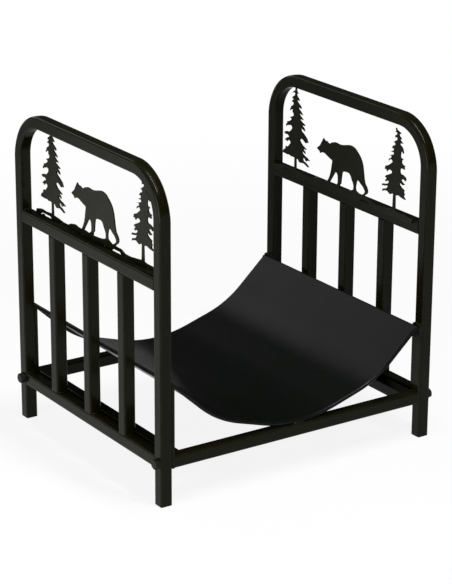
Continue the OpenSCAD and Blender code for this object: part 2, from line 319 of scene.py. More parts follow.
@dataclass(frozen=True)
class PowderCoat:
    """Satin black powder coating on steel, with its patterns' scales in cells per metre."""

    name: str
    colour: tuple
    worn: tuple
    dust: tuple
    roughness: float = 0.18
    shine: float = 0.085
    peel: float = 0.0025
    peel_scale: float = 260.0
    waves: float = 0.0
    wave_scale: float = 9.0
    cloud_scale: float = 14.0
    cloud_tone: float = 0.75
    cloud_rough: float = 0.06
    patch_scale: float = 55.0
    grain_scale: float = 700.0
    grain_tone: float = 1.6
    grain_share: float = 0.4
    grain_rough: float = 0.06
    edge_reach: float = 0.9 * MM
    edge_share: float = 0.35
    edge_rough: float = -0.03
    dust_share: float = 0.012
    dust_rough: float = 0.04
    scuff_share: float = 0.05
    scuff_rough: float = 0.10

    def build(self) -> bpy.types.Material:
        """Makes the material.

        Returns:
            The material.
        """
        material, graph = new_material(self.name)
        where = graph.place()
        clouds = graph.noise(where, self.cloud_scale, 3.0, 0.55)
        patches = graph.noise(where, self.patch_scale)
        grain = graph.noise(where, self.grain_scale, rough=0.6)
        edge = self._edges(graph, patches)
        dust = self._dust(graph, clouds, patches)
        scuffs = self._scuffs(graph)
        tone = graph.blend(clouds.between(0.3, 0.7), rgba(self.colour), rgba(self.colour, self.cloud_tone))
        specks = grain.between(0.35, 0.75) * self.grain_share
        tone = graph.blend(specks, tone, rgba(self.colour, self.grain_tone))
        tone = graph.blend(edge * self.edge_share, tone, rgba(self.worn))
        pale = (dust * self.dust_share + scuffs * self.scuff_share).held()
        tone = graph.blend(pale, tone, rgba(self.dust))
        rough = self.roughness + (clouds - 0.5) * self.cloud_rough + (grain - 0.5) * self.grain_rough
        rough = rough + dust * self.dust_rough + scuffs * self.scuff_rough + edge * self.edge_rough
        relief = grain * self.peel + graph.noise(where, self.peel_scale, 1.0) * (2.0 * self.peel)
        if self.waves:
            relief = relief + graph.noise(where, self.wave_scale, 1.0) * self.waves
        graph.skin(tone, rough, relief, 0.0, self.shine)
        return material

    def _edges(self, graph: Graph, patches: Signal) -> Signal:
        """Rubbed edges, from the corner attribute and from a rounded normal.

        Args:
            graph: The node tree.
            patches: Noise that breaks the wear up.

        Returns:
            Wear from 0 to 1.
        """
        soft = graph.signal("ShaderNodeBevel", {"samples": 6}, {"Radius": self.edge_reach})
        plain = graph.signal("ShaderNodeNewGeometry", output="True Normal")
        rounded = (1.0 - graph.dot(soft, plain)).between(0.02, 0.25)
        return (graph.corner().most(rounded) * (0.35 + patches.between(0.35, 0.7) * 0.65)).held()

    @staticmethod
    def _dust(graph: Graph, clouds: Signal, patches: Signal) -> Signal:
        """Thin dust on what faces up.

        Args:
            graph: The node tree.
            clouds: Broad noise.
            patches: Finer noise.

        Returns:
            Dust from 0 to 1.
        """
        normal = graph.signal("ShaderNodeNewGeometry", output="Normal")
        up = graph.signal("ShaderNodeSeparateXYZ", inputs={0: normal}, output="Z").between(0.25, 0.95)
        return up * (0.3 + clouds * 0.5 + patches * 0.4)

    @staticmethod
    def _scuffs(graph: Graph) -> Signal:
        """Faint thin marks from handling.

        Args:
            graph: The node tree.

        Returns:
            Marks from 0 to 1.
        """
        long_way = graph.place((90.0, 900.0, 14.0), (0.2, 0.1, 0.35))
        cross_way = graph.place((16.0, 60.0, 800.0), (0.3, 0.5, -0.2))
        first = graph.noise(long_way, 1.0, 1.0).between(0.70, 0.78)
        second = graph.noise(cross_way, 1.0, 1.0).between(0.71, 0.79)
        return first.most(second)


@dataclass(frozen=True)
class DarkZinc:
    """Blackened zinc on bolts, washers and nuts, with its patterns' scales in cells per metre."""

    name: str
    colour: tuple
    worn: tuple
    roughness: float = 0.42
    metallic: float = 0.12
    shine: float = 0.06
    blotch_scale: float = 320.0
    blotch_tone: float = 0.6
    blotch_rough: float = 0.25
    blotch_relief: float = 0.01
    turning_scale: float = 260.0
    turning_rough: float = 0.12
    turning_relief: float = 0.006
    edge_share: float = 0.7
    edge_rough: float = -0.1

    def build(self) -> bpy.types.Material:
        """Makes the material.

        Returns:
            The material.
        """
        material, graph = new_material(self.name)
        blotch = graph.noise(graph.place(), self.blotch_scale, 3.0, 0.6)
        turned = graph.noise(graph.place((1.0, 9.0, 9.0)), self.turning_scale, rough=0.6)
        edge = (graph.corner() * (0.4 + blotch * 0.8)).held()
        tone = graph.blend(blotch.between(0.35, 0.7), rgba(self.colour), rgba(self.colour, self.blotch_tone))
        tone = graph.blend(edge * self.edge_share, tone, rgba(self.worn))
        rough = self.roughness + (blotch - 0.5) * self.blotch_rough + (turned - 0.5) * self.turning_rough
        rough = rough + edge * self.edge_rough
        relief = turned * self.turning_relief + blotch * self.blotch_relief
        graph.skin(tone, rough, relief, self.metallic, self.shine)
        return material


class Finishes:
    """The four finishes of the rack."""

    def __init__(self) -> None:
        """Makes every material once."""
        frame_dust = (0.080, 0.078, 0.060)
        self.by_slot = {
            Slot.FRAME: PowderCoat(
                "satin_black_frame", (0.0053, 0.0053, 0.0016), worn=(0.016, 0.016, 0.008), dust=frame_dust
            ).build(),
            Slot.PANEL: PowderCoat(
                "satin_black_panel", (0.0052, 0.0056, 0.0014), worn=(0.017, 0.017, 0.009), dust=frame_dust
            ).build(),
            Slot.CRADLE: PowderCoat(
                "satin_black_cradle",
                (0.0019, 0.0026, 0.0020),
                worn=(0.014, 0.014, 0.013),
                dust=(0.075, 0.075, 0.070),
                roughness=0.31,
                shine=0.092,
                waves=0.05,
            ).build(),
            Slot.HARDWARE: DarkZinc(
                "dark_zinc_hardware", (0.0065, 0.0065, 0.0058), worn=(0.022, 0.021, 0.019)
            ).build(),
        }

    def __getitem__(self, slot: Slot) -> bpy.types.Material:
        """Material of a slot."""
        return self.by_slot[slot]


# Workshop: the bmesh of one piece


def middle(node: str) -> Vector:
    """Middle of a CAD node's box."""
    low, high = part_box(node)
    return (low + high) / 2


def of_kind(geometry: list, kind: type) -> list:
    """Items of one kind, such as points, in an operator's result."""
    return [item for item in geometry if isinstance(item, kind)]


class Workpiece:
    """One piece on the bench: its mesh, and how it joins the rack when done."""

    def __init__(self, name: str) -> None:
        """Starts an empty piece.

        Args:
            name: Name of the piece.
        """
        self.name = name
        self.bm = bmesh.new()

    def whole(self) -> list:
        """Every point, edge and face."""
        return [*self.bm.verts, *self.bm.edges, *self.bm.faces]

    def square_ring(self, width: float, corner: float, steps: int = 4, support: float = 1.0 * MM) -> list:
        """Lays the rounded square of a tube in the XY plane.

        Args:
            width: Outside width.
            corner: Outside corner radius.
            steps: Facets in each corner.
            support: Distance of an extra edge beside each corner.

        Returns:
            The loop's edges.
        """
        made = bmesh.ops.create_grid(self.bm, x_segments=1, y_segments=1, size=width / 2)
        bmesh.ops.bevel(
            self.bm, geom=made["verts"], offset=corner, offset_type="OFFSET", affect="VERTICES",
            segments=steps, profile=0.5, material=-1,
        )
        faces = list(self.bm.faces)
        flats = [edge for edge in faces[0].edges if edge.calc_length() > width / 2]
        bmesh.ops.delete(self.bm, geom=faces, context="FACES_ONLY")
        for flat in flats:
            start, end = flat.verts
            beside, _ = bmesh.utils.edge_split(flat, start, support / flat.calc_length())
            rest = max((flat, beside), key=lambda edge: edge.calc_length())
            bmesh.utils.edge_split(rest, end, support / rest.calc_length())
        return list(self.bm.edges)

    def round_ring(self, radius: float, steps: int = 20) -> list:
        """Lays a circle in the XY plane.

        Args:
            radius: Its radius.
            steps: Its number of edges.

        Returns:
            The loop's edges.
        """
        bmesh.ops.create_circle(self.bm, cap_ends=False, segments=steps, radius=radius)
        return list(self.bm.edges)

    def rod(self, radius: float, length: float, height: float, steps: int) -> None:
        """Adds a closed round bar along Z.

        Args:
            radius: Its radius.
            length: Its length.
            height: Height of its middle.
            steps: Facets around it.
        """
        bmesh.ops.create_cone(
            self.bm, cap_ends=True, cap_tris=False, segments=steps, radius1=radius, radius2=radius,
            depth=length, matrix=Matrix.Translation((0.0, 0.0, height)),
        )

    def take(self, node: str, flat: float = 0.5) -> None:
        """Copies a CAD node's mesh, merged and without the edges inside its flat faces.

        Args:
            node: The CAD node.
            flat: Angle in degrees up to which two faces are one.
        """
        self.bm.from_mesh(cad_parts[node].data)
        bmesh.ops.remove_doubles(self.bm, verts=list(self.bm.verts), dist=MERGE)
        bmesh.ops.dissolve_limit(
            self.bm, angle_limit=math.radians(flat), verts=list(self.bm.verts), edges=list(self.bm.edges),
            use_dissolve_boundaries=False,
        )

    def turn(self, angle: float, axis: str) -> None:
        """Turns the whole piece about an axis of the rack.

        Args:
            angle: Angle in degrees.
            axis: X, Y or Z.
        """
        matrix = Matrix.Rotation(math.radians(angle), 3, axis)
        bmesh.ops.rotate(self.bm, matrix=matrix, verts=list(self.bm.verts))

    def shift(self, vector: tuple | Vector) -> None:
        """Moves the whole piece."""
        bmesh.ops.translate(self.bm, vec=Vector(vector), verts=list(self.bm.verts))

    def extrude(self, edges: list, vector: tuple) -> list:
        """Draws a wall out of a row of edges.

        Args:
            edges: The row.
            vector: Where it goes.

        Returns:
            The new row.
        """
        made = bmesh.ops.extrude_edge_only(self.bm, edges=edges)["geom"]
        bmesh.ops.translate(self.bm, vec=Vector(vector), verts=of_kind(made, BMVert))
        return of_kind(made, BMEdge)

    def bend(self, edges: list, centre: tuple, axis: tuple, angle: float, steps: int) -> list:
        """Spins a row of edges round a bend.

        Args:
            edges: The row.
            centre: Centre of the bend.
            axis: Axis of the bend.
            angle: Angle in degrees.
            steps: Number of facets.

        Returns:
            The last row.
        """
        made = bmesh.ops.spin(
            self.bm, geom=edges, cent=Vector(centre), axis=Vector(axis), dvec=(0.0, 0.0, 0.0),
            angle=math.radians(angle), steps=steps, use_merge=False, use_duplicate=False,
        )
        return of_kind(made["geom_last"], BMEdge)

    def raise_faces(self, faces: list, height: float, keep: bool = False) -> tuple[list, list]:
        """Extrudes faces along Z.

        Args:
            faces: The faces.
            height: How far they go.
            keep: Whether the first faces stay, to close the solid's back.

        Returns:
            The raised points and faces.
        """
        made = bmesh.ops.extrude_face_region(self.bm, geom=faces)["geom"]
        if not keep:
            bmesh.ops.delete(self.bm, geom=faces, context="FACES_ONLY")
        raised = of_kind(made, BMVert)
        bmesh.ops.translate(self.bm, vec=(0.0, 0.0, height), verts=raised)
        return raised, of_kind(made, BMFace)

    def widen(self, verts: list, factor: float) -> None:
        """Scales points away from the Z axis."""
        bmesh.ops.scale(self.bm, vec=(factor, factor, 1.0), verts=verts)

    def mirror(self) -> None:
        """Adds the mirror image on the other side of the rack's middle."""
        bmesh.ops.mirror(
            self.bm, geom=self.whole(), matrix=Matrix.Identity(4), merge_dist=0.01 * MM, axis="X"
        )
        self.close()

    def fill(self) -> None:
        """Fills every open end."""
        bmesh.ops.holes_fill(self.bm, edges=[e for e in self.bm.edges if e.is_boundary], sides=0)

    def close(self) -> None:
        """Merges doubles and turns every face outwards."""
        bmesh.ops.remove_doubles(self.bm, verts=list(self.bm.verts), dist=MERGE)
        bmesh.ops.recalc_face_normals(self.bm, faces=list(self.bm.faces))

    def ease(self, width: float, steps: int = 2) -> None:
        """Bevels the sharp edges.

        Args:
            width: Width of the bevel.
            steps: Its facets.
        """
        sharp = [e for e in self.bm.edges if e.is_manifold and e.calc_face_angle(0.0) > SHARP]
        bmesh.ops.bevel(
            self.bm, geom=sharp, offset=width, offset_type="OFFSET", affect="EDGES",
            segments=steps, profile=0.5, material=-1, clamp_overlap=True,
        )

    def add(self, part: "Workpiece", matrix: Matrix) -> None:
        """Joins a finished part to this piece.

        Args:
            part: The part, which is used up.
            matrix: Its place on the rack.
        """
        bmesh.ops.transform(part.bm, matrix=matrix, verts=list(part.bm.verts))
        scratch = bpy.data.meshes.new(part.name)
        part.bm.to_mesh(scratch)
        part.bm.free()
        self.bm.from_mesh(scratch)
        bpy.data.meshes.remove(scratch)

    def mark_corners(self, flat: float = 8.0, sharp: float = 18.0) -> None:
        """Writes the corner attribute that the wear follows.

        Args:
            flat: Angle in degrees up to which an edge gives 0.
            sharp: Angle in degrees from which it gives 1.
        """
        layer = self.bm.verts.layers.float.new(CORNER)
        for vert in self.bm.verts:
            steepest = max((e.calc_face_angle(0.0) for e in vert.link_edges if e.is_manifold), default=0.0)
            share = (math.degrees(steepest) - flat) / (sharp - flat)
            vert[layer] = min(max(share, 0.0), 1.0)

    def place(
        self,
        slot: Slot,
        finishes: Finishes,
        nodes: tuple = (),
        smooth: float = 34.0,
        wall: float = 0.0,
        wall_side: float = -1.0,
        even: bool = True,
    ) -> None:
        """Makes the object, dresses it and joins it to the rack.

        Args:
            slot: Material slot of the record.
            finishes: The materials.
            nodes: CAD nodes that it stands for.
            smooth: Angle in degrees up to which shading is smooth.
            wall: Thickness given by a Solidify modifier.
            wall_side: Side on which the wall grows, from -1 to 1.
            even: Whether normals are weighted by face area.
        """
        self.mark_corners()
        mesh = bpy.data.meshes.new(self.name)
        self.bm.to_mesh(mesh)
        self.bm.free()
        mesh.shade_smooth()
        mesh.set_sharp_from_angle(angle=math.radians(smooth))
        mesh.materials.append(finishes[slot])
        piece = bpy.data.objects.new(self.name, mesh)
        bpy.context.scene.collection.objects.link(piece)
        if wall:
            shell = piece.modifiers.new("wall", "SOLIDIFY")
            shell.thickness = wall
            shell.offset = wall_side
            shell.use_even_offset = True
        if even:
            weighted = piece.modifiers.new("weighted", "WEIGHTED_NORMAL")
            weighted.keep_sharp = True
        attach(piece, "root")
        if nodes:
            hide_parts(*nodes)
        log.info("%s: %d points, %s", self.name, len(mesh.vertices), slot.value)


@dataclass(frozen=True)
class SquareTube:
    """Square steel tube, the same for the whole rack."""

    width: float = 18.0 * MM
    wall: float = 1.2 * MM
    corner: float = 2.4 * MM

    def straight(self, node: str, finishes: Finishes) -> None:
        """Cuts a straight length, as long as a CAD node and in its place.

        Args:
            node: The CAD node.
            finishes: The materials.
        """
        low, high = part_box(node)
        size = high - low
        way = max(range(3), key=lambda axis: size[axis])
        work = Workpiece(f"{node}_coated")
        ring = work.square_ring(self.width, self.corner)
        work.extrude(ring, (0.0, 0.0, size[way]))
        work.shift((0.0, 0.0, -size[way] / 2))
        if way == 0:
            work.turn(90.0, "Y")
        elif way == 1:
            work.turn(90.0, "X")
        work.shift(middle(node))
        work.close()
        work.place(Slot.FRAME, finishes, (node,), wall=self.wall)


@dataclass(frozen=True)
class CutPlate:
    """Cut sheet or flat bar with eased edges."""

    slot: Slot
    edge: float

    def cut(self, node: str, finishes: Finishes) -> None:
        """Cuts a plate from its CAD node.

        Args:
            node: The CAD node.
            finishes: The materials.
        """
        work = Workpiece(f"{node}_coated")
        work.take(node)
        work.ease(self.edge)
        work.place(self.slot, finishes, (node,))


@dataclass(frozen=True)
class WeldBead:
    """Fillet weld with a rippled back, under the coating."""

    radius: float = 1.7 * MM
    pitch: float = 1.3 * MM
    sink: float = 0.4 * MM
    around: int = 7
    start_share: float = 0.55
    dip_share: float = 0.84
    end_share: float = 0.5

    def lay(self, work: Workpiece, start: tuple | Vector, end: tuple | Vector) -> None:
        """Lays one bead.

        Args:
            work: Piece that takes it.
            start: Where it starts.
            end: Where it ends.
        """
        first, last = Vector(start), Vector(end)
        length = (last - first).length
        count = max(round(length / self.pitch), 3)
        part = Workpiece("bead")
        bmesh.ops.create_circle(
            part.bm, cap_ends=True, segments=self.around, radius=self.radius * self.start_share
        )
        caps = list(part.bm.faces)
        for index in range(count):
            rim, caps = part.raise_faces(caps, length / count, keep=index == 0)
            share = 1.0 if index % 2 else self.dip_share
            if index == count - 1:
                share = self.end_share
            part.widen(rim, self.radius * share / max(vert.co.xy.length for vert in rim))
        part.close()
        turn = Vector((0.0, 0.0, 1.0)).rotation_difference(last - first).to_matrix().to_4x4()
        work.add(part, Matrix.Translation(first) @ turn)

    @staticmethod
    def finish(work: Workpiece, slot: Slot, finishes: Finishes) -> None:
        """Coats a piece that is made of beads alone."""
        work.place(slot, finishes, smooth=50.0, even=False)


# Sub-assemblies


@dataclass
class SideFrame:
    """One side frame: bent hoop, two rails, three slats, cut-out panel and their welds."""

    side: Side
    tube: SquareTube
    finishes: Finishes
    bend_r: float = 61.0 * MM
    bend_steps: int = 18
    bend_corner: float = 3.6 * MM
    bend_crown: float = 1.3 * MM
    bend_onset: float = 1.3
    wall_cuts: int = 5
    rails: tuple = ("upper_rail", "lower_rail")
    slats: tuple = ("slat_front", "slat_middle", "slat_rear")
    panel: CutPlate = CutPlate(Slot.PANEL, 0.25 * MM)
    bead: WeldBead = WeldBead()
    bead_half: float = 6.8 * MM
    tack: WeldBead = WeldBead(radius=1.0 * MM)
    tack_half: float = 3.5 * MM
    tack_out: float = 0.1 * MM
    tacks: tuple = (-140.0 * MM, -84.0 * MM, -28.0 * MM, 34.0 * MM, 92.0 * MM, 146.0 * MM)

    def build(self) -> None:
        """Builds every piece."""
        self._hoop()
        for bar in self.rails + self.slats:
            self.tube.straight(f"{self.side.word}_{bar}", self.finishes)
        self.panel.cut(f"{self.side.word}_panel", self.finishes)
        self._welds()

    def _hoop(self) -> None:
        """Bends the hoop from one length of tube."""
        node = f"{self.side.word}_hoop"
        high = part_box(node)[1]
        half = self.tube.width / 2
        x = middle(node).x
        leg_y = high.y - half
        run = leg_y - self.bend_r
        straight = high.z - half - self.bend_r
        around = (-1.0, 0.0, 0.0)
        work = Workpiece(f"{node}_coated")
        ring = work.square_ring(self.tube.width, self.tube.corner)
        walls = [edge for edge in ring if edge.calc_length() > half]
        bmesh.ops.subdivide_edges(work.bm, edges=walls, cuts=self.wall_cuts)
        work.shift((x, -leg_y, 0.0))
        row = work.extrude(list(work.bm.edges), (0.0, 0.0, straight))
        row = work.bend(row, (x, -run, straight), around, 90.0, self.bend_steps)
        row = work.extrude(row, (0.0, 2 * run, 0.0))
        row = work.bend(row, (x, run, straight), around, 90.0, self.bend_steps)
        work.extrude(row, (0.0, 0.0, -straight))
        work.close()
        self._settle_bends(work, x, run, straight)
        work.place(Slot.FRAME, self.finishes, (node,), wall=self.tube.wall)

    def _settle_bends(self, work: Workpiece, x: float, run: float, straight: float) -> None:
        """Rounds the outer wall of the tube in its two bends, as the bending does.

        Args:
            work: The hoop.
            x: Middle of the tube.
            run: Half the straight length on top.
            straight: Height of the straight legs.
        """
        corner = self.tube.corner
        half = self.tube.width / 2
        flat = half - corner
        for vert in work.bm.verts:
            arm = Vector((abs(vert.co.y) - run, vert.co.z - straight))
            out = arm.length - self.bend_r
            if min(arm.x, arm.y) < 0.0 or out < 0.0:
                continue
            share = min(1.0, self.bend_onset * math.sin(2 * math.atan2(arm.y, arm.x)))
            grown = corner + (self.bend_corner - corner) * share
            level = half - grown
            across, out = (
                level + (part - flat) * grown / corner if part > flat else part * level / flat
                for part in (abs(vert.co.x - x), out)
            )
            out -= self.bend_crown * share * (across / half) ** 2 * out / half
            arm *= (self.bend_r + out) / arm.length
            vert.co = (
                x + math.copysign(across, vert.co.x - x),
                math.copysign(run + arm.x, vert.co.y),
                straight + arm.y,
            )

    def _welds(self) -> None:
        """Lays the beads at the ends of rails and slats and on the panel."""
        word = self.side.word
        work = Workpiece(f"{word}_frame_welds")
        sink = self.bead.sink
        spots = []
        for slat in self.slats:
            low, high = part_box(f"{word}_{slat}")
            spots += [(y, z) for z in (low.z + sink, high.z - sink) for y in (low.y - sink, high.y + sink)]
        for rail in self.rails:
            low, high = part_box(f"{word}_{rail}")
            spots += [(y, z) for y in (low.y + sink, high.y - sink) for z in (low.z - sink, high.z + sink)]
        x = middle(f"{word}_hoop").x
        for y, z in spots:
            self.bead.lay(work, (x - self.bead_half, y, z), (x + self.bead_half, y, z))
        low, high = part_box(f"{word}_panel")
        face = (low if self.side is Side.LEFT else high).x + self.side.value * self.tack_out
        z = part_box(f"{word}_upper_rail")[1].z - sink
        for y in self.tacks:
            self.tack.lay(work, (face, y - self.tack_half, z), (face, y + self.tack_half, z))
        self.bead.finish(work, Slot.FRAME, self.finishes)


@dataclass
class BaseFrame:
    """Bolted base: four rails, four straps and their welds."""

    tube: SquareTube
    finishes: Finishes
    strap: CutPlate = CutPlate(Slot.FRAME, 0.45 * MM)
    bead: WeldBead = WeldBead(radius=1.8 * MM)
    end_gap: float = 2.0 * MM
    upright_inset: float = 2.5 * MM
    strap_inset: float = 3.0 * MM

    def build(self) -> None:
        """Builds every piece."""
        for place in (*End, *Side):
            self.tube.straight(f"{place.word}_base_rail", self.finishes)
        for end in End:
            for side in Side:
                self.strap.cut(f"{end.word}_{side.word}_strap", self.finishes)
        self._welds()

    def _welds(self) -> None:
        """Lays the beads between the rails and at the straps."""
        work = Workpiece("base_welds")
        sink = self.bead.sink
        for end in End:
            low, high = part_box(f"{end.word}_base_rail")
            y = (high if end is End.FRONT else low).y - end.value * sink
            bottom, top = low.z + self.upright_inset, high.z - self.upright_inset
            near, far = low.y + self.strap_inset, high.y - self.strap_inset
            for side in Side:
                short_low, short_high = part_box(f"{side.word}_base_rail")
                for x in (short_low.x - sink, short_high.x + sink):
                    if abs(x) < high.x - self.end_gap:
                        self.bead.lay(work, (x, y, bottom), (x, y, top))
                edge = side.value * (high.x - sink)
                for z in (low.z + sink / 2, high.z - sink / 2):
                    self.bead.lay(work, (edge, near, z), (edge, far, z))
        self.bead.finish(work, Slot.FRAME, self.finishes)


@dataclass
class Cradle:
    """Bent trough for the logs with its round edge bars."""

    finishes: Finishes
    mid_r: float = 210.0 * MM
    mid_slope: float = 17.0
    flat_len: float = 42.0 * MM
    side_r: float = 160.0 * MM
    side_slope: float = 42.5
    sheet_t: float = 1.5 * MM
    sheet_sink: float = 0.1 * MM
    sheet_steps: int = 14
    bar_r: float = 3.0 * MM
    bar_steps: int = 12
    bar_around: int = 24
    bar_edge: float = 0.6 * MM
    bead: WeldBead = WeldBead(radius=1.6 * MM)
    rest_half: float = 9.0 * MM
    rest_aside: float = 2.6 * MM
    rest_up: float = 0.5 * MM
    corner_start: tuple = (1.5 * MM, 4.5 * MM, 1.0 * MM)
    corner_end: tuple = (5.5 * MM, 1.5 * MM, 3.2 * MM)
    strap_half: float = 6.0 * MM
    strap_out: float = 2.7 * MM
    strap_down: float = 1.6 * MM

    def build(self) -> None:
        """Builds every piece."""
        self._sheet()
        for end in End:
            self._end_bar(end)
        for side in Side:
            self._side_bar(side)
        self._welds()

    def _mid_height(self) -> float:
        """Height of the bars' centre line at the bottom of the trough."""
        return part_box("front_base_rail")[1].z + self.bar_r

    def _follow(self, work: Workpiece, row: list, y: float, steps: int) -> None:
        """Draws a row of edges along the trough's section, on both sides of its middle.

        Args:
            work: The piece.
            row: The row at the middle of the trough.
            y: Depth of the row.
            steps: Facets in each bend.
        """
        mid = self._mid_height()
        slope, steep = math.radians(self.mid_slope), math.radians(self.side_slope)
        x1 = self.mid_r * math.sin(slope)
        z1 = mid + self.mid_r * (1 - math.cos(slope))
        x2 = x1 + self.flat_len * math.cos(slope)
        z2 = z1 + self.flat_len * math.sin(slope)
        x3 = x2 + self.side_r * (math.sin(steep) - math.sin(slope))
        end_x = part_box("front_base_rail")[1].x - self.bar_r
        around = (0.0, -1.0, 0.0)
        row = work.bend(row, (0.0, y, mid + self.mid_r), around, self.mid_slope, steps)
        row = work.extrude(row, (x2 - x1, 0.0, z2 - z1))
        centre = (x2 - self.side_r * math.sin(slope), y, z2 + self.side_r * math.cos(slope))
        row = work.bend(row, centre, around, self.side_slope - self.mid_slope, steps)
        work.extrude(row, (end_x - x3, 0.0, (end_x - x3) * math.tan(steep)))
        work.mirror()

    def _sheet(self) -> None:
        """Rolls the sheet, its edges running over the bars."""
        reach = -middle("cradle_front_bar").y
        height = self._mid_height() + self.bar_r - self.sheet_sink - self.sheet_t / 2
        work = Workpiece("cradle_sheet_coated")
        ends = [bmesh.ops.create_vert(work.bm, co=(0.0, y, height))["vert"][0] for y in (-reach, reach)]
        row = bmesh.ops.contextual_create(work.bm, geom=ends)["edges"]
        self._follow(work, row, 0.0, self.sheet_steps)
        work.place(Slot.CRADLE, self.finishes, ("cradle_sheet",), wall=self.sheet_t, wall_side=0.0)

    def _end_bar(self, end: End) -> None:
        """Bends one end bar.

        Args:
            end: End of the rack.
        """
        node = f"cradle_{end.word}_bar"
        y = middle(node).y
        work = Workpiece(f"{node}_coated")
        row = work.round_ring(self.bar_r)
        work.turn(90.0, "Y")
        work.shift((0.0, y, self._mid_height()))
        self._follow(work, row, y, self.bar_steps)
        work.fill()
        work.close()
        work.place(Slot.CRADLE, self.finishes, (node,))

    def _side_bar(self, side: Side) -> None:
        """Cuts one straight side bar.

        Args:
            side: Side of the rack.
        """
        node = f"cradle_{side.word}_bar"
        low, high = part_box(node)
        work = Workpiece(f"{node}_coated")
        work.rod(self.bar_r, high.y - low.y, 0.0, self.bar_around)
        work.turn(90.0, "X")
        work.shift(middle(node))
        work.ease(self.bar_edge, 3)
        work.place(Slot.CRADLE, self.finishes, (node,))

    def _welds(self) -> None:
        """Lays the beads at the corners and where the trough rests on the base."""
        work = Workpiece("cradle_welds")
        half = Vector((0.0, self.strap_half, 0.0))
        for end in End:
            y = middle(f"cradle_{end.word}_bar").y
            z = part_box(f"{end.word}_base_rail")[1].z + self.rest_up
            for aside in (self.rest_aside, -self.rest_aside):
                beside = y + end.value * aside
                self.bead.lay(work, (-self.rest_half, beside, z), (self.rest_half, beside, z))
            for side in Side:
                bar = middle(f"cradle_{side.word}_bar")
                corner = Vector((bar.x, y, bar.z))
                inwards = Vector((-side.value, -end.value, -1.0))
                start, stop = (corner + inwards * Vector(way) for way in (self.corner_start, self.corner_end))
                self.bead.lay(work, start, stop)
                strap = corner + Vector((side.value * self.strap_out, 0.0, -self.strap_down))
                self.bead.lay(work, strap - half, strap + half)
        self.bead.finish(work, Slot.CRADLE, self.finishes)


@dataclass
class Fasteners:
    """Hexagon bolts and flat washers through the legs, with the nuts behind the straps."""

    tube: SquareTube
    finishes: Finishes
    across_flats: float = 13.0 * MM
    head_h: float = 5.3 * MM
    head_chamfer: float = 0.8 * MM
    head_top: float = 0.92
    head_steps: int = 60
    thread_r: float = 4.0 * MM
    thread_steps: int = 32
    length: float = 32.0 * MM
    tip: float = 1.0 * MM
    tip_share: float = 0.78
    washer_r: float = 8.0 * MM
    washer_hole_r: float = 4.2 * MM
    washer_t: float = 1.6 * MM
    washer_edge: float = 0.25 * MM
    washer_steps: int = 48
    first_turn: float = 11.0
    next_turn: float = 23.0
    smooth: float = 28.0

    def build(self) -> None:
        """Builds the bolts and washers, and dresses the nuts."""
        bolts, washers = Workpiece("bolts_dark"), Workpiece("washers_dark")
        low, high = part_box("left_hoop")
        leg_y = high.y - self.tube.width / 2
        height = middle("left_lower_rail").z
        for index, (side, end) in enumerate((side, end) for side in Side for end in End):
            spot = Vector((side.value * abs(low.x), end.value * leg_y, height))
            laid = Matrix.Translation(spot) @ Matrix.Rotation(math.radians(90.0 * side.value), 4, "Y")
            spun = Matrix.Rotation(math.radians(self.first_turn + self.next_turn * index), 4, "Z")
            bolts.add(self._bolt(), laid @ spun)
            washers.add(self._washer(), laid)
        bolts.place(Slot.HARDWARE, self.finishes, ("bolts",), smooth=self.smooth)
        washers.place(Slot.HARDWARE, self.finishes, ("washers",), smooth=self.smooth)
        for material_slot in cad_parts["nuts"].material_slots:
            material_slot.link = "OBJECT"
            material_slot.material = self.finishes[Slot.HARDWARE]
        log.info("nuts: dressed on the CAD node")

    def _bolt(self) -> Workpiece:
        """Turns one bolt, its head's seat at the washer's top.

        Returns:
            The bolt.
        """
        part = Workpiece("bolt")
        corner_r = self.across_flats / 2 / math.cos(math.radians(30.0))
        head = self.head_h - self.head_chamfer
        part.rod(corner_r, head, self.washer_t + head / 2, self.head_steps)
        top = max(part.bm.faces, key=lambda face: face.calc_center_median().z)
        rim, _ = part.raise_faces([top], self.head_chamfer)
        part.widen(rim, self.head_top * self.across_flats / 2 / corner_r)
        for index in range(6):
            angle = math.radians(60.0 * index + 30.0)
            normal = Vector((math.cos(angle), math.sin(angle), 0.0))
            bmesh.ops.bisect_plane(
                part.bm, geom=part.whole(), dist=MERGE, plane_co=normal * self.across_flats / 2,
                plane_no=normal, clear_outer=True,
            )
            part.fill()
        part.close()
        shank = self.length - self.tip
        part.rod(self.thread_r, shank, self.washer_t - shank / 2, self.thread_steps)
        bottom = min(part.bm.faces, key=lambda face: face.calc_center_median().z)
        rim, _ = part.raise_faces([bottom], -self.tip)
        part.widen(rim, self.tip_share)
        return part

    def _washer(self) -> Workpiece:
        """Stamps one washer.

        Returns:
            The washer.
        """
        part = Workpiece("washer")
        hole = part.round_ring(self.washer_hole_r, self.washer_steps)
        made = bmesh.ops.extrude_edge_only(part.bm, edges=hole)
        part.widen(of_kind(made["geom"], BMVert), self.washer_r / self.washer_hole_r)
        part.raise_faces(list(part.bm.faces), self.washer_t, keep=True)
        part.close()
        part.ease(self.washer_edge)
        return part


# Studio and camera


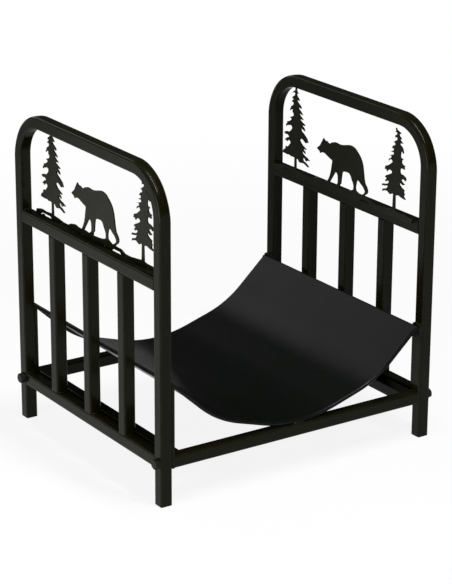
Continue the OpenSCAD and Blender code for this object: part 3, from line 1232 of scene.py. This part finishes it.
@dataclass
class Studio:
    """Pale floor, plain dim surroundings and soft lamps."""

    floor_half: float = 14.0
    floor_tone: float = 0.80
    near_share: float = 0.88
    near: float = 0.5
    far: float = 1.8
    # Painted shade that glossy rays alone see on the floor in a band behind the rack
    gloss_dim: float = 0.60
    dim_way: tuple = (0.76, 0.65, 0.0)
    dim_from: tuple = (0.05, 0.25)
    dim_to: tuple = (0.80, 1.20)
    ambient: float = 0.04
    aim: tuple = (0.0, 0.0, 0.25)
    lamps: tuple = (
        ("key_softbox", (0.1, -0.75, 2.35), (0.17, 1.8), 60.0),
        ("left_softbox", (-1.45, -0.50, 0.40), (0.9, 0.9), 17.0),
        ("back_softbox", (-0.42, 1.95, 1.50), (1.5, 1.5), 10.6),
    )

    def build(self) -> None:
        """Builds the floor, the world and the lamps."""
        self._floor()
        self._world()
        for name, spot, size, watts in self.lamps:
            self._lamp(name, Vector(spot), size, watts)
        log.info("studio: floor, world and %d lamps", len(self.lamps))

    def _floor(self) -> None:
        """Lays the floor."""
        part = bmesh.new()
        bmesh.ops.create_grid(part, x_segments=1, y_segments=1, size=self.floor_half)
        mesh = bpy.data.meshes.new("studio_floor")
        part.to_mesh(mesh)
        part.free()
        mesh.materials.append(self._pale_floor())
        floor = bpy.data.objects.new("studio_floor", mesh)
        bpy.context.scene.collection.objects.link(floor)

    def _pale_floor(self) -> bpy.types.Material:
        """Makes the floor's material.

        It looks white where it is seen straight, through glass or in a gloss, and keeps the shadow near
        the rack. Glossy rays alone see a painted shade on it: a band behind the rack where it is darkened.

        Returns:
            The material.
        """
        material, graph = new_material("pale_floor")
        place = graph.place()
        away = graph.signal("ShaderNodeVectorMath", {"operation": "LENGTH"}, {0: place}, "Value")
        white = self.near_share + away.between(self.near, self.far) * (1.0 - self.near_share)
        gloss = graph.ray("Glossy")
        seen = graph.ray("Camera").most(graph.ray("Transmission")).most(gloss)
        matte = graph.signal("ShaderNodeBsdfDiffuse", inputs={"Color": rgba(WHITE, self.floor_tone)})
        glow = graph.signal("ShaderNodeEmission", inputs={"Color": rgba(WHITE), "Strength": 1.0})
        pale = graph.signal("ShaderNodeMixShader", inputs={0: seen * white, 1: matte, 2: glow})
        # Painted shade: glossy rays alone see the floor darkened towards black in a band behind the rack
        behind = graph.dot(place, self.dim_way)
        dim = self.gloss_dim * (behind.between(*self.dim_from) - behind.between(*self.dim_to))
        dark = graph.signal("ShaderNodeEmission", inputs={"Strength": 0.0})
        shaded = graph.signal("ShaderNodeMixShader", inputs={0: gloss * dim, 1: pale, 2: dark})
        graph.node("ShaderNodeOutputMaterial", inputs={"Surface": shaded})
        return material

    def _world(self) -> None:
        """Fills the surroundings with plain dim light."""
        world = bpy.data.worlds.new("studio_world")
        world.use_nodes = True
        graph = Graph(world.node_tree)
        plain = graph.signal("ShaderNodeBackground", inputs={"Color": rgba(WHITE), "Strength": self.ambient})
        graph.node("ShaderNodeOutputWorld", inputs={"Surface": plain})
        bpy.context.scene.world = world

    def _lamp(self, name: str, spot: Vector, size: tuple, watts: float) -> None:
        """Hangs one softbox that looks at the rack.

        Args:
            name: Its name.
            spot: Its place.
            size: Its width and its length.
            watts: Its power.
        """
        data = bpy.data.lights.new(name, "AREA")
        data.shape = "RECTANGLE"
        data.size, data.size_y = size
        data.energy = watts
        lamp = bpy.data.objects.new(name, data)
        lamp.location = spot
        lamp.rotation_euler = (Vector(self.aim) - spot).to_track_quat("-Z", "Y").to_euler()
        bpy.context.scene.collection.objects.link(lamp)


@dataclass
class PhotoCamera:
    """Camera at the photograph's place."""

    focal_px: float = 2219.589
    long_px: float = 584.0
    azimuth: float = -33.795
    elevation: float = 19.504
    roll: float = 0.263
    aside: float = 3.911 * MM
    above: float = -37.839 * MM
    distance: float = 3225.962 * MM
    aim_z: float = 250.0 * MM
    sensor: float = 36.0
    clip: tuple = (0.05, 60.0)

    def build(self) -> None:
        """Sets the camera up."""
        turn, rise, roll = (math.radians(angle) for angle in (self.azimuth, self.elevation, self.roll))
        back = Vector((math.sin(turn) * math.cos(rise), -math.cos(turn) * math.cos(rise), math.sin(rise)))
        level = Vector((0.0, 0.0, 1.0)).cross(back).normalized()
        upright = back.cross(level)
        right = level * math.cos(roll) + upright * math.sin(roll)
        up = upright * math.cos(roll) - level * math.sin(roll)
        eye = Vector((0.0, 0.0, self.aim_z)) + right * self.aside + up * self.above + back * self.distance
        data = bpy.data.cameras.new("photo_camera")
        data.sensor_fit = "AUTO"
        data.sensor_width = self.sensor
        data.lens = self.focal_px / self.long_px * self.sensor
        data.clip_start, data.clip_end = self.clip
        camera = bpy.data.objects.new("photo_camera", data)
        camera.matrix_world = Matrix.Translation(eye) @ Matrix((right, up, back)).transposed().to_4x4()
        bpy.context.scene.collection.objects.link(camera)
        bpy.context.scene.camera = camera
        log.info("camera: %.1f mm lens at %s", data.lens, tuple(round(part, 3) for part in eye))


def main() -> None:
    """Builds the rack, the studio and the camera."""
    logging.basicConfig(level=logging.INFO, format="%(name)s: %(message)s")
    bpy.context.scene.view_settings.view_transform = "Standard"
    finishes = Finishes()
    tube = SquareTube()
    for side in Side:
        SideFrame(side, tube, finishes).build()
    BaseFrame(tube, finishes).build()
    Cradle(finishes).build()
    Fasteners(tube, finishes).build()
    Studio().build()
    PhotoCamera().build()


if __name__ == "__main__":
    main()
